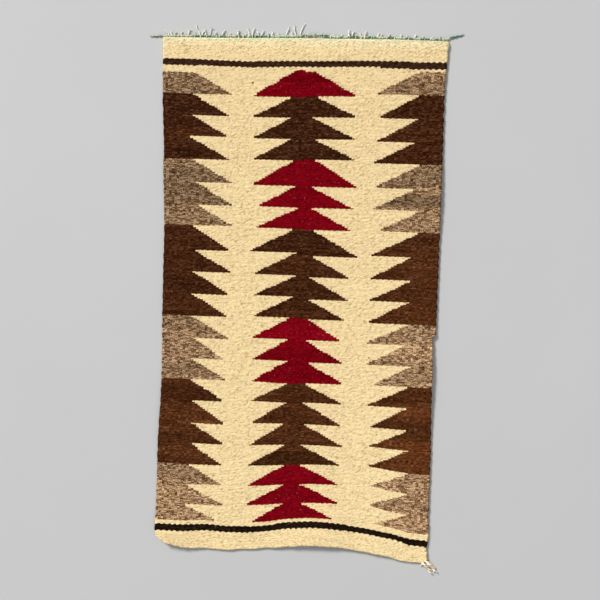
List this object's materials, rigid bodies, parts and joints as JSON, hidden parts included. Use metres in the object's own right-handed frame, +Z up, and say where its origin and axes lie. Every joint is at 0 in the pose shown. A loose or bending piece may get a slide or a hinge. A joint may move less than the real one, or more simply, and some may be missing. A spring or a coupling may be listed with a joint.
{
  "type": "navajo rug",
  "caption": "Small handwoven wool rug laid flat, with stepped triangle columns, border stripes, a twisted end cord, short cotton warp ends and a corner tuft.",
  "frame": {"origin": "on the floor, under the middle of the whole rug's bounding box", "axes": "+X across the rug to the right, +Y along its length towards the corded end, +Z up out of its face"},
  "size_m": [0.5128, 0.9296, 0.0133],
  "materials": {
    "rug_wool": "coarse weft-faced handspun wool, mostly cream with brown, red and heather grey",
    "cord_wool": "faded sea-green two-ply twisted wool",
    "warp_cotton": "natural white cotton string"
  },
  "bodies": {
    "root": {"rug_cloth": "rug_wool", "end_cord": "cord_wool", "warp_end_fringe": "warp_cotton", "corner_tassel": "warp_cotton"}
  },
  "joints": []
}
